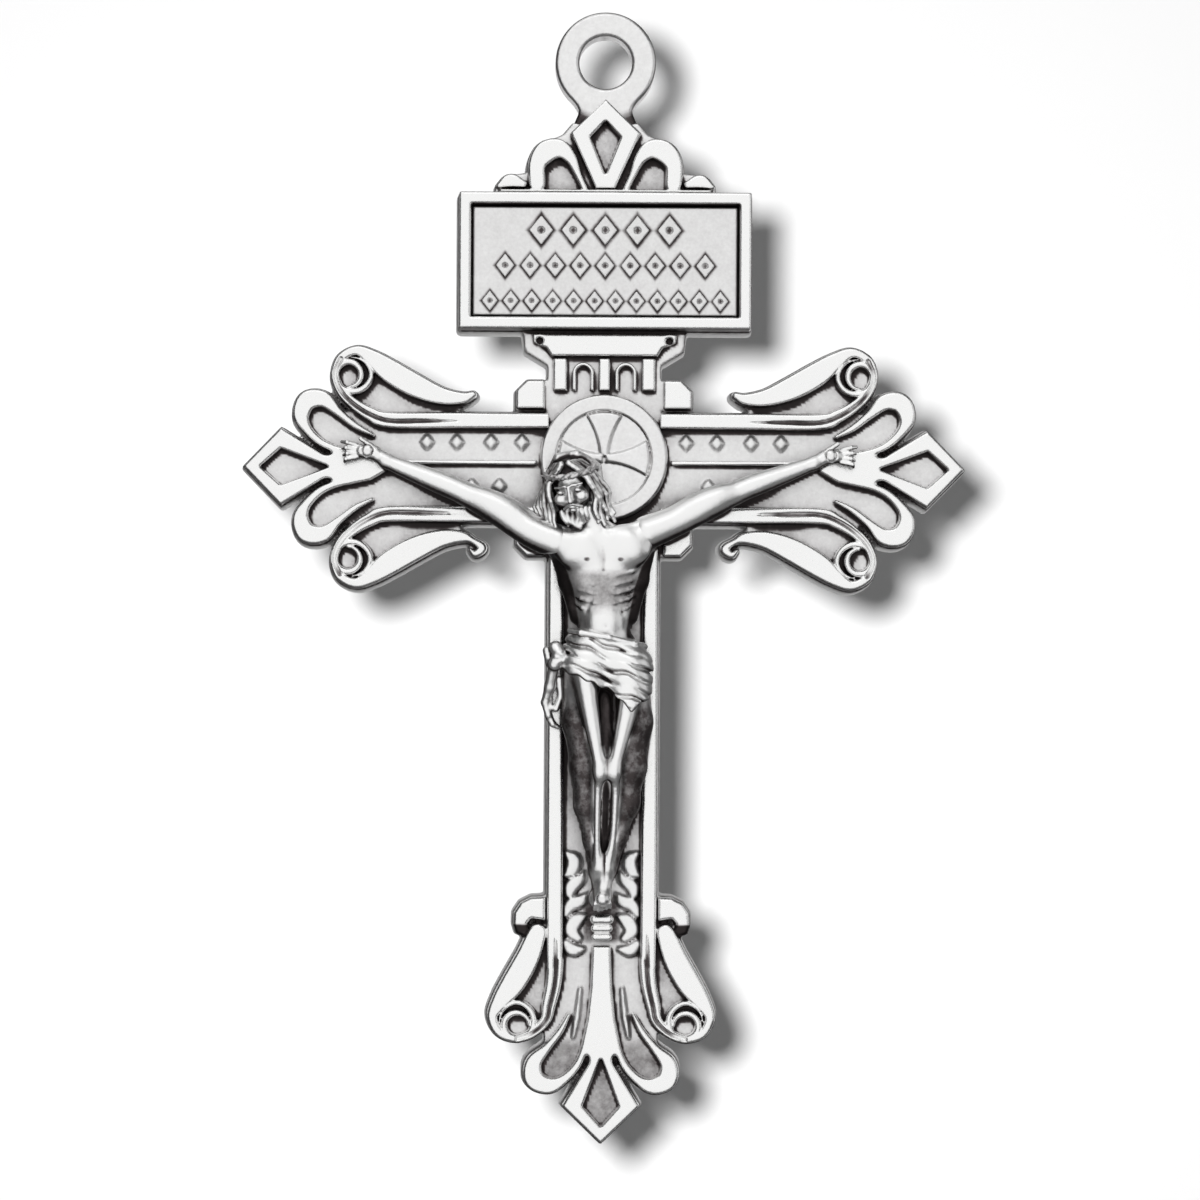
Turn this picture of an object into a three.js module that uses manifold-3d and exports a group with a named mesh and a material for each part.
// A pendant crucifix in oxidised silver: a cast plate with applied scrollwork, a title board,
// a nimbus and a pinned corpus, hung by the eyelet at its top.
// Millimetres. +Z up, the front faces -Y, and the origin is the centre of the eyelet's hole.
import * as THREE from "three";
import { mergeVertices } from "three/addons/utils/BufferGeometryUtils.js";
import Module from "manifold-3d";

const wasm = await Module();
wasm.setup();

// ---------- driving dimensions ----------
const EYE_TO_CROSSING = 19.1; // eyelet centre down to the axis of the arms
const ARM_REACH = 16.95; // crossing to the tip of an arm's lozenge
const FOOT_REACH = 31.7; // crossing to the tip of the foot's lozenge
const EDGE = 0.05; // how far the plate stands out beyond the straps along shaft and arms
const PLATE_HALF = 0.7; // half thickness of the plate
const RIM = 0.32; // how far the plate stands out beyond what is soldered on it
const RELIEF = 0.5; // height of the scrollwork over the plate
const SOLDER = 0.03; // gap between neighbouring pieces
const STRAP_START = 2.9; // where the straps begin, clear of the nimbus
const EYE_OUTER = 2.36;
const EYE_HOLE = 1.3;
const NAIL_RADIUS = 0.22;
const NAIL_FIT = 0.04; // clearance of a nail in its hole
const NAIL_HEAD = { radius: 0.34, high: 0.16 };
const THROUGH = 4; // half length of a tool that cuts right through

const NIMBUS = { z: 0.47, inner: 2.15, outer: 3.02 };
const BOARD = { half: 6.95, low: 6.36, high: 12.98, thick: 0.4, frame: 0.6, proud: 0.85 };

// ---------- materials ----------
const silver = (color, roughness) =>
  new THREE.MeshStandardMaterial({ color, roughness, metalness: 1 });
const ORNAMENT = silver(0xdadad8, 0.28);
const PLATE = silver(0xb9b9b8, 0.42);
const FIGURE = silver(0xc9c9c8, 0.24);
const NAIL = silver(0x9a9a99, 0.3);

// ---------- solids ----------
function solid(geometry) {
  const bare = (geometry.index ? geometry.toNonIndexed() : geometry.clone())
    .deleteAttribute("normal")
    .deleteAttribute("uv");
  const merged = mergeVertices(bare, 1e-4);
  return new wasm.Manifold(
    new wasm.Mesh({
      numProp: 3,
      vertProperties: merged.attributes.position.array,
      triVerts: new Uint32Array(merged.index.array),
    }),
  );
}

function geometryOf(body) {
  const mesh = body.getMesh();
  const geometry = new THREE.BufferGeometry();
  geometry.setAttribute("position", new THREE.BufferAttribute(mesh.vertProperties, 3));
  geometry.setIndex(new THREE.BufferAttribute(mesh.triVerts, 1));
  const flat = geometry.toNonIndexed();
  flat.computeVertexNormals();
  return flat;
}

const join = (bodies) => bodies.reduce((all, body) => all.add(body));
const cut = (body, tools) => tools.reduce((left, tool) => left.subtract(tool), body);
const moved = (body, matrix) => solid(geometryOf(body).applyMatrix4(matrix));
const turned = (body, angle) => moved(body, new THREE.Matrix4().makeRotationY(angle));

// A flat shape drawn in (x, z), raised forwards from depth y0 to y1, both measured towards -Y.
function slab(shape, y0, y1) {
  const geometry = new THREE.ExtrudeGeometry(shape, { depth: y1 - y0, bevelEnabled: false });
  geometry.translate(0, 0, y0);
  geometry.rotateX(Math.PI / 2);
  return solid(geometry);
}

const polygon = (points) => new THREE.Shape(points.map(([x, z]) => new THREE.Vector2(x, z)));
const mirrored = (points) => [
  ...points,
  ...points
    .filter(([x]) => x !== 0)
    .map(([x, z]) => [-x, z])
    .reverse(),
];

// A strap of changing half width along a smooth line through [x, z, half width] points.
function ribbon(points, samples, grow = 0) {
  const line = new THREE.CatmullRomCurve3(
    points.map(([x, z, half]) => new THREE.Vector3(x, z, half)),
    false,
    "centripetal",
  );
  const left = [];
  const right = [];
  for (let i = 0; i <= samples; i++) {
    const t = i / samples;
    const p = line.getPoint(t);
    const tangent = line.getTangent(t);
    const size = Math.hypot(tangent.x, tangent.y);
    const [nx, nz] = [-tangent.y / size, tangent.x / size];
    const half = p.z + grow;
    left.push(new THREE.Vector2(p.x + nx * half, p.y + nz * half));
    right.push(new THREE.Vector2(p.x - nx * half, p.y - nz * half));
  }
  return new THREE.Shape([...left, ...right.reverse()]);
}

function disc(x, z, radius, y0, y1, segments = 16) {
  const geometry = new THREE.CylinderGeometry(radius, radius, y1 - y0, segments);
  geometry.translate(x, -(y0 + y1) / 2, z);
  return solid(geometry);
}

function block(x0, x1, z0, z1, y0, y1) {
  const geometry = new THREE.BoxGeometry(x1 - x0, y1 - y0, z1 - z0);
  geometry.translate((x0 + x1) / 2, -(y0 + y1) / 2, (z0 + z1) / 2);
  return solid(geometry);
}

// ---------- scrollwork, in an arm's own frame: x outwards along the arm, z across it ----------
// Each outline is given by its distance back from the tip, its distance off the axis, and a half width.
const STRIP = { off: 2.18, half: 0.37 };
const SCROLL_STRAP = [
  [8.4, STRIP.off, STRIP.half],
  [6.9, 2.25, 0.36],
  [5.9, 2.65, 0.3],
  [5.0, 3.35, 0.26],
  [4.45, 4.1, 0.26],
  [4.45, 4.8, 0.28],
  [5.0, 5.35, 0.3],
  [5.9, 5.25, 0.42],
  [6.8, 4.65, 0.56],
  [8.1, 3.95, 0.52],
  [9.2, 3.45, 0.4],
];
const LONG_TAIL = [
  [10.2, 3.3, 0.3],
  [10.8, 3.35, 0.2],
];
const SHORT_TAIL = [[9.6, 3.3, 0.3]];
const CURL_CENTRE = [5.45, 4.05];
const CURL_START = [
  [7.4, 2.6, 0.1],
  [6.5, 2.95, 0.16],
];
const LOBE = [
  [5.2, 2.3, 0.2],
  [4.45, 2.9, 0.25],
  [3.7, 3.25, 0.38],
  [3.0, 2.9, 0.42],
  [2.75, 2.2, 0.34],
  [3.0, 1.5, 0.28],
  [3.7, 1.0, 0.24],
  [4.8, 0.6, 0.22],
];
const LOZENGE = [
  [0, 0],
  [1.8, 1.86],
  [3.5, 0.8],
  [4.8, 0.75],
];
const LOZENGE_HOLE = [
  [0.9, 0],
  [1.8, 0.8],
  [3.8, 0],
];

// The volute that curls off the strap, wound in by a little over a turn.
function curl() {
  const turns = 1.1;
  const steps = 10;
  const points = [...CURL_START];
  for (let i = 0; i <= steps; i++) {
    const t = i / steps;
    const angle = -Math.PI * (0.42 + 2 * turns * t);
    const radius = 0.86 - 0.38 * t;
    const [back, off] = CURL_CENTRE;
    points.push([back + radius * Math.cos(angle), off + radius * Math.sin(angle), 0.16]);
  }
  return points;
}

const outward = (reach, side) => (points) =>
  points.map(([back, off, half = 0]) => [reach - back, side * off, half]);

const strapPoints = (reach, side, start, tail) =>
  outward(reach, side)([[reach - start, STRIP.off, STRIP.half], ...SCROLL_STRAP, ...tail]);

function scroll(reach, side, tail) {
  const strap = ribbon(strapPoints(reach, side, STRAP_START, tail), 24);
  const volute = ribbon(outward(reach, side)(curl()), 20);
  return join([strap, volute].map((shape) => slab(shape, PLATE_HALF, PLATE_HALF + RELIEF)));
}

// The end casting of an arm: a pierced lozenge between two lobes, on a short flared stem.
function terminal(reach, stemBack) {
  const place = (points) => points.map(([back, off]) => [reach - back, off]);
  const across = (points) => [
    ...points,
    ...points
      .filter(([, off]) => off !== 0)
      .map(([back, off]) => [back, -off])
      .reverse(),
  ];
  const outline = [...LOZENGE, [5.9, 0.48], [stemBack, 0.46]];
  const top = PLATE_HALF + RELIEF;
  const kite = slab(polygon(place(across(outline))), PLATE_HALF, top);
  const hole = slab(polygon(place(across(LOZENGE_HOLE))), 0, top + 1);
  const lobes = [1, -1].map((side) =>
    slab(ribbon(outward(reach, side)(LOBE), 12), PLATE_HALF, top),
  );
  return join([kite, ...lobes]).subtract(hole);
}

// What the plate carries at the end of an arm, standing out all round by the rim.
const TERMINAL_GROUND = [
  [-0.45, 0],
  [1.8, 2.3],
  [3.0, 3.5],
  [4.4, 4.6],
  [5.3, 5.4],
  [8.2, 4.4],
  [9.8, 3.4],
  [10.5, 0],
];
const GROUND_STRAP = 9; // how far back from the tip the ground follows the straps
function terminalPlate(reach, tail) {
  const shapes = [1, -1].flatMap((side) => [
    polygon(outward(reach, side)(TERMINAL_GROUND)),
    ribbon(strapPoints(reach, side, reach - GROUND_STRAP, tail), 16, RIM),
    ribbon(outward(reach, side)(LOBE), 10, RIM),
  ]);
  return join(shapes.map((shape) => slab(shape, -PLATE_HALF, PLATE_HALF)));
}

const TO_LEFT = Math.PI; // turns of an arm's frame about Y
const TO_FOOT = Math.PI / 2;

// ---------- crest over the title board ----------
const CREST_KITE = [
  [0, 17.3],
  [1.72, 15.68],
  [0.55, BOARD.high + SOLDER],
];
const CREST_KITE_HOLE = [
  [0, 16.2],
  [0.65, 15.5],
  [0, 13.8],
];
const CREST_LOBE = [
  [1.05, 13.25, 0.2],
  [1.62, 14.5, 0.28],
  [2.2, 14.95, 0.42],
  [2.85, 14.75, 0.48],
  [3.2, 14.1, 0.42],
  [3.2, 13.35, 0.34],
];
const CREST_LEAF = [
  [3.75, BOARD.high + SOLDER],
  [3.9, 13.75],
  [4.35, 13.9],
  [4.9, 13.6],
  [5.1, BOARD.high + SOLDER],
];
const EYE_LUG = { half: 0.95, low: 15.95, high: 17.4 };

const toSide = (side, points) => points.map(([x, z, half = 0]) => [side * x, z, half]);

function crest() {
  const top = PLATE_HALF + RELIEF;
  const kite = slab(polygon(mirrored(CREST_KITE)), PLATE_HALF, top);
  const hole = slab(polygon(mirrored(CREST_KITE_HOLE)), 0, top + 1);
  const sides = [1, -1].flatMap((side) => [
    slab(ribbon(toSide(side, CREST_LOBE), 12), PLATE_HALF, top),
    slab(polygon(toSide(side, CREST_LEAF)), PLATE_HALF, top),
  ]);
  // A low fillet ties the ornaments together along their foot.
  const [low, half] = [BOARD.high + SOLDER, 5.1];
  const fillet = block(-half, half, low, low + 0.28, PLATE_HALF, PLATE_HALF + RELIEF / 2);
  return join([kite.subtract(hole), fillet, ...sides]);
}

// What the plate carries behind the crest; the eyelet's lug is brazed into its head.
function crestPlate() {
  const head = EYE_LUG.low - SOLDER;
  const outline = [
    [0, head],
    [1.7, head],
    [2.5, 15.75],
    [3.7, 15.2],
    [4.3, 14.35],
    [5.1, 14.15],
    [5.6, 12.9],
  ];
  return slab(polygon(mirrored(outline)), -PLATE_HALF, PLATE_HALF);
}

function eyelet() {
  const { half, low, high } = EYE_LUG;
  const ring = disc(0, EYE_TO_CROSSING, EYE_OUTER, -PLATE_HALF, PLATE_HALF, 32);
  const lug = polygon(mirrored([[1.3, high], [half, high - 0.5], [1.65, low]]));
  const hole = disc(0, EYE_TO_CROSSING, EYE_HOLE, -THROUGH, THROUGH, 24);
  return ring.add(slab(lug, -PLATE_HALF, PLATE_HALF)).subtract(hole);
}

// ---------- title board, its corbel and the panel under it ----------
function titleBoard() {
  const { half, low, high, thick, frame } = BOARD;
  const inset = frame + SOLDER;
  const [x, bottom, top] = [half - inset, low + inset, high - inset];
  return block(-x, x, bottom, top, PLATE_HALF, PLATE_HALF + thick);
}

function titleFrame() {
  const { half, low, high, frame, proud } = BOARD;
  const outer = block(-half, half, low, high, PLATE_HALF, PLATE_HALF + proud);
  const inner = half - frame;
  return outer.subtract(block(-inner, inner, low + frame, high - frame, 0, THROUGH));
}

const CORBEL = [
  [3.45, BOARD.low - SOLDER],
  [3.3, 5.65],
  [2.5, 5.2],
];
const corbel = () => slab(polygon(mirrored(CORBEL)), PLATE_HALF, PLATE_HALF + 0.4);

// Three upright mouldings on a thin panel.
function upperPanel() {
  const [low, high, half] = [3.6, 5.17, 2.44];
  const bar = 0.3;
  const bars = [-1.9, 0, 1.9].map((x) =>
    block(x - bar, x + bar, low, high, PLATE_HALF, PLATE_HALF + 0.4),
  );
  return join([block(-half, half, low, high, PLATE_HALF, PLATE_HALF + 0.2), ...bars]);
}

// ---------- round the crossing ----------
// A ring with a floor and the three visible arms of a cross in it.
function nimbus() {
  const { z, inner, outer } = NIMBUS;
  const top = PLATE_HALF + RELIEF;
  const opening = disc(0, z, inner, 0, THROUGH, 26);
  const ring = disc(0, z, outer, PLATE_HALF, top, 32).subtract(opening);
  const floor = disc(0, z, inner + 0.1, PLATE_HALF, PLATE_HALF + 0.15, 20);
  const ray = [
    [-0.2, 0.5],
    [0.2, 0.5],
    [0.5, inner + 0.1],
    [-0.5, inner + 0.1],
  ];
  const rays = [-Math.PI / 2, 0, Math.PI / 2].map((angle) => {
    const matrix = new THREE.Matrix4().makeTranslation(0, 0, z);
    matrix.multiply(new THREE.Matrix4().makeRotationY(angle));
    return moved(slab(polygon(ray), PLATE_HALF, PLATE_HALF + 0.35), matrix);
  });
  return join([ring, floor, ...rays]);
}

// The middle moulding of an arm, between the nimbus and the hand.
const MOULDING = { half: 0.2, end: 9.3, z: 0.25, proud: 0.3 };
function armMoulding() {
  const { half, end, proud } = MOULDING;
  return block(NIMBUS.outer + 0.1, end, -half, half, PLATE_HALF, PLATE_HALF + proud);
}

// A small block with a chamfered corner, between shaft and arm.
const CORNER = { inner: 2.75, outer: 4.15, chamfer: 0.5 };
const CORNER_BLOCK = [
  [CORNER.inner, CORNER.inner],
  [CORNER.outer, CORNER.inner],
  [CORNER.outer, CORNER.outer - CORNER.chamfer],
  [CORNER.outer - CORNER.chamfer, CORNER.outer],
  [CORNER.inner, CORNER.outer],
];

function cornerBlock(sideX, sideZ) {
  const points = CORNER_BLOCK.map(([x, z]) => [sideX * x, sideZ * z]);
  return slab(polygon(points), PLATE_HALF, PLATE_HALF + 0.4);
}

// ---------- at the foot ----------
// The hooked cap at each side of the shaft, over the foot's scrolls.
const FOOT_CAP = [
  [2.66, -20.0],
  [3.4, -20.15],
  [3.95, -20.6],
  [4.15, -21.2],
  [3.95, -21.8],
  [3.6, -21.45],
  [2.66, -21.6],
];
const footCap = (side) =>
  slab(polygon(toSide(side, FOOT_CAP)), PLATE_HALF, PLATE_HALF + RELIEF);

// The small block that the feet stand on, stepped back twice below them.
const FOOTREST_STEPS = [
  [-20.9, -21.35, 0.85],
  [-21.35, -21.8, 0.7],
  [-21.8, -22.2, 0.6],
];
function footrest() {
  const half = 0.5;
  return join(
    FOOTREST_STEPS.map(([high, low, proud]) =>
      block(-half, half, low, high, PLATE_HALF, PLATE_HALF + proud),
    ),
  );
}

// ---------- the plate ----------
const HAND_NAILS = [
  [-11.05, 0.68],
  [10.55, 0.55],
];
const FOOT_NAIL = [0, -20.15];
const nailHole = ([x, z]) => disc(x, z, NAIL_RADIUS + NAIL_FIT, -THROUGH, THROUGH, 10);

// The ground under a foot cap, and the one under the corbel.
const CAP_GROUND = [
  [2, -19.7],
  [3.5, -19.85],
  [4.25, -20.4],
  [4.45, -21.2],
  [4.3, -22.1],
  [2, -22.6],
];
const CORBEL_GROUND = [
  [3.8, BOARD.low + 0.5],
  [3.65, 5.5],
  [2.7, 4.9],
];
const UNDER_TERMINAL = 3; // how far short of a tip the plain bars of the plate stop

function plate() {
  const edge = STRIP.off + STRIP.half + EDGE;
  const corner = CORNER.outer + RIM / 2;
  const armEnd = ARM_REACH - UNDER_TERMINAL;
  const bars = [
    block(-edge, edge, UNDER_TERMINAL - FOOT_REACH, BOARD.low + 1, -PLATE_HALF, PLATE_HALF),
    block(-armEnd, armEnd, -edge, edge, -PLATE_HALF, PLATE_HALF),
    block(-corner, corner, -corner, corner, -PLATE_HALF, PLATE_HALF),
    block(-BOARD.half, BOARD.half, BOARD.low, BOARD.high, -PLATE_HALF, PLATE_HALF),
    slab(polygon(mirrored(CORBEL_GROUND)), -PLATE_HALF, PLATE_HALF),
  ];
  const ends = [
    terminalPlate(ARM_REACH, LONG_TAIL),
    turned(terminalPlate(ARM_REACH, LONG_TAIL), TO_LEFT),
    turned(terminalPlate(FOOT_REACH, SHORT_TAIL), TO_FOOT),
    crestPlate(),
    ...[1, -1].map((side) => slab(polygon(toSide(side, CAP_GROUND)), -PLATE_HALF, PLATE_HALF)),
  ];
  return cut(join([...bars, ...ends]), [...HAND_NAILS, FOOT_NAIL].map(nailHole));
}

// ---------- corpus ----------
function ball(x, depth, z, rx, ry, rz, across = 8, down = 6) {
  const geometry = new THREE.SphereGeometry(1, across, down);
  geometry.scale(rx, rz, ry);
  geometry.rotateX(Math.PI / 2);
  geometry.translate(x, -depth, z);
  return solid(geometry);
}

// A cylinder reshaped ring by ring, from its top ring down. toPlace puts a ring's unit circle.
function loft(rings, sides, toPlace) {
  const steps = rings.length - 1;
  const geometry = new THREE.CylinderGeometry(1, 1, 1, sides, steps);
  const position = geometry.attributes.position;
  for (let i = 0; i < position.count; i++) {
    const ring = rings[Math.round((0.5 - position.getY(i)) * steps)];
    position.setXYZ(i, ...toPlace(ring, position.getX(i), position.getZ(i)));
  }
  return solid(geometry);
}

// Upright, with level oval rings of [x, depth, z, half width, half depth].
const upright = (rings, sides) =>
  loft(rings, sides, ([x, depth, z, rx, ry], u, v) => [x + rx * u, -depth - ry * v, z]);

// Lying along X, from its +X end, with rings of [x, depth, z, radius].
const sideways = (rings, sides) =>
  loft(rings, sides, ([x, depth, z, radius], u, v) => [x, -depth - radius * u, z + radius * v]);

// The plate and the straps at each side of the shaft, cut out of what rests on them.
const bed = () => {
  const inner = STRIP.off - STRIP.half - SOLDER;
  const [far, bottom, strapTop] = [ARM_REACH + THROUGH, -FOOT_REACH, STRIP.off + STRIP.half];
  const front = PLATE_HALF + RELIEF + SOLDER;
  return join([
    block(-far, far, bottom, far, -THROUGH, PLATE_HALF + 0.01),
    block(inner, far, bottom, strapTop, 0, front),
    block(-far, -inner, bottom, strapTop, 0, front),
  ]);
};

const TRUNK = [
  [-0.55, 2.5, -1.9, 0.6, 0.6],
  [-0.35, 2.4, -2.75, 0.75, 0.7],
  [-0.25, 2.2, -3.1, 2.0, 1.0],
  [-0.15, 2.1, -4.0, 2.1, 1.4],
  [-0.1, 2.05, -5.0, 1.85, 1.5],
  [0, 2.0, -6.2, 1.5, 1.3],
  [0, 1.9, -7.3, 1.42, 1.15],
  [0, 1.95, -8.6, 1.7, 1.25],
  [0, 2.0, -9.8, 1.8, 1.25],
  [0, 2.1, -10.7, 1.3, 1.1],
];
const LEFT_LEG = [
  [-0.85, 2.2, -9.6, 0.9, 1.0],
  [-0.75, 2.45, -11.6, 0.85, 0.9],
  [-0.58, 2.9, -14.3, 0.68, 0.75],
  [-0.55, 2.5, -15.8, 0.66, 0.7],
  [-0.45, 1.9, -18.7, 0.38, 0.4],
];
const RIGHT_LEG = [
  [0.95, 2.2, -9.6, 0.92, 1.0],
  [0.85, 2.5, -11.6, 0.88, 0.9],
  [0.72, 2.95, -14.4, 0.7, 0.78],
  [0.6, 2.55, -15.9, 0.68, 0.7],
  [0.3, 1.95, -18.7, 0.4, 0.42],
];
const FEET = [
  [-0.05, 1.75, -18.3, 0.6, 0.55],
  [0, 1.85, -19.4, 0.55, 0.5],
  [0, 1.7, -20.3, 0.5, 0.45],
  [0, 1.5, -20.8, 0.35, 0.3],
];

const corpusBody = () =>
  join([upright(TRUNK, 12), upright(LEFT_LEG, 8), upright(RIGHT_LEG, 8), upright(FEET, 8)]);

const WRAP = [
  [0, 1.9, -7.4, 1.7, 1.4],
  [0.05, 1.95, -8.6, 2.0, 1.6],
  [0.05, 2.1, -9.8, 2.1, 1.7],
  [0.1, 2.2, -10.9, 1.8, 1.35],
];
const HANGING_END = [
  [-2.1, 1.9, -8.4, 0.4, 0.6],
  [-2.25, 1.9, -9.1, 0.6, 0.7],
  [-2.3, 1.6, -10.2, 0.45, 0.5],
  [-2.25, 1.4, -11.9, 0.3, 0.3],
];
const loincloth = () => join([upright(WRAP, 12), upright(HANGING_END, 8)]);

// The arms, each from its +X end; the palms are flat, so that the nails' heads bed on them.
const LEFT_ARM = [
  [-2.1, 2.3, -3.4, 0.5],
  [-3.2, 2.25, -2.95, 0.55],
  [-5.0, 2.1, -1.95, 0.45],
  [-6.9, 1.95, -1.0, 0.42],
  [-8.6, 1.8, -0.35, 0.36],
  [-10.4, 1.65, 0.4, 0.26],
];
const RIGHT_ARM = [
  [10.0, 1.65, 0.4, 0.26],
  [8.3, 1.8, -0.35, 0.36],
  [6.5, 1.95, -1.0, 0.42],
  [4.6, 2.1, -1.75, 0.45],
  [2.8, 2.25, -2.6, 0.55],
  [1.7, 2.3, -3.0, 0.5],
];
const PALM = { depth: 1.6, long: 0.72, thick: 0.26, wide: 0.5 };
function arm(rings, [x, z]) {
  const { depth, long, thick, wide } = PALM;
  return sideways(rings, 8).add(ball(x, depth, z, long, thick, wide, 10, 6));
}

// The head leans to the viewer's left; its middle is given as x, depth, z.
const HEAD = [-1.2, 3.0, -1.0];
const CROWN = { radius: 0.98, thick: 0.2, above: 0.65, lean: -0.35 };

function head() {
  const [x, depth, z] = HEAD;
  const skull = ball(x, depth, z, 0.95, 1.0, 1.25);
  const hair = ball(x - 0.1, depth - 0.2, z - 0.5, 1.45, 0.85, 1.35);
  return skull.add(hair);
}

function thornCrown() {
  const [x, depth, z] = HEAD;
  const ring = new THREE.TorusGeometry(CROWN.radius, CROWN.thick, 5, 14);
  ring.rotateX(CROWN.lean);
  ring.translate(x, -depth - 0.1, z + CROWN.above);
  return solid(ring);
}

// Depth of the fronts of the palms and of the feet, where the nails' heads bed.
const HAND_FRONT = 1.84;
const FOOT_FRONT = 2.3;
function nail([x, z], high) {
  const shank = disc(x, z, NAIL_RADIUS, -PLATE_HALF, high, 10);
  return shank.add(disc(x, z, NAIL_HEAD.radius, high - 0.01, high + NAIL_HEAD.high, 10));
}

// ---------- assembly ----------
const group = new THREE.Group();
const crossing = new THREE.Group();
crossing.position.z = -EYE_TO_CROSSING;
group.add(crossing);

function place(name, body, material, parent = crossing) {
  const mesh = new THREE.Mesh(geometryOf(body), material);
  mesh.name = name;
  parent.add(mesh);
  return mesh;
}

const ENDS = [
  { name: "right", plus: "right_upper", minus: "right_lower", angle: 0, reach: ARM_REACH },
  { name: "left", plus: "left_lower", minus: "left_upper", angle: TO_LEFT, reach: ARM_REACH },
  { name: "foot", plus: "foot_right", minus: "foot_left", angle: TO_FOOT, reach: FOOT_REACH },
];
const ARM_STEM = 7.0;
const FOOT_STEM = 9.45;

for (const { name, plus, minus, angle, reach } of ENDS) {
  const frame = new THREE.Group();
  frame.rotation.y = angle;
  crossing.add(frame);
  const atFoot = name === "foot";
  const [[leftX, leftZ], rightPin] = HAND_NAILS;
  const pin = name === "right" ? rightPin : [-leftX, -leftZ];
  const ending = terminal(reach, atFoot ? FOOT_STEM : ARM_STEM);
  place(name + "_terminal", atFoot ? ending : cut(ending, [nailHole(pin)]), ORNAMENT, frame);
  const tail = atFoot ? SHORT_TAIL : LONG_TAIL;
  place(plus + "_scroll", scroll(reach, 1, tail), ORNAMENT, frame);
  place(minus + "_scroll", scroll(reach, -1, tail), ORNAMENT, frame);
}

place("cross_plate", plate(), PLATE);
place("hanging_eyelet", eyelet(), ORNAMENT);
place("crest_ornament", crest(), ORNAMENT);
place("title_board", titleBoard(), PLATE);
place("title_frame", titleFrame(), ORNAMENT);
place("title_corbel", corbel(), ORNAMENT);
place("upper_panel", upperPanel(), ORNAMENT);
place("nimbus", nimbus(), ORNAMENT);
for (const [side, name] of [[1, "right"], [-1, "left"]]) {
  const moulding = place(name + "_arm_moulding", armMoulding(), ORNAMENT);
  moulding.rotation.y = side > 0 ? 0 : TO_LEFT;
  moulding.position.z = MOULDING.z;
  place("upper_" + name + "_block", cornerBlock(side, 1), ORNAMENT);
  place("lower_" + name + "_block", cornerBlock(side, -1), ORNAMENT);
  place("foot_" + name + "_cap", footCap(side), ORNAMENT);
}
place("footrest", footrest(), ORNAMENT);

// The figure is cast in pieces, each cut clear of the one that it is let into.
const JOINT_GAP = 0.04;
function clearOf(body, other) {
  const geometry = geometryOf(other);
  geometry.computeBoundingBox();
  const size = geometry.boundingBox.getSize(new THREE.Vector3());
  const middle = geometry.boundingBox.getCenter(new THREE.Vector3());
  const grow = size.toArray().map((length) => 1 + (2 * JOINT_GAP) / length);
  geometry.translate(-middle.x, -middle.y, -middle.z);
  geometry.scale(...grow);
  geometry.translate(middle.x, middle.y, middle.z);
  return cut(body, [other, solid(geometry)]);
}

const skull = head();
const thorns = thornCrown();
const trunk = cut([skull, footrest()].reduce(clearOf, corpusBody()), [bed(), nailHole(FOOT_NAIL)]);
place("corpus_body", trunk, FIGURE);
place("loincloth", clearOf(loincloth(), trunk).subtract(bed()), FIGURE);
place("corpus_head", clearOf(skull, thorns), FIGURE);
place("crown_of_thorns", thorns, FIGURE);
for (const [side, rings, pin] of [
  ["left", LEFT_ARM, HAND_NAILS[0]],
  ["right", RIGHT_ARM, HAND_NAILS[1]],
]) {
  const limbAndPalm = [trunk, skull].reduce(clearOf, arm(rings, pin));
  place("corpus_" + side + "_arm", limbAndPalm.subtract(nailHole(pin)), FIGURE);
  place(side + "_hand_nail", nail(pin, HAND_FRONT), NAIL);
}
place("foot_nail", nail(FOOT_NAIL, FOOT_FRONT), NAIL);

export default group;
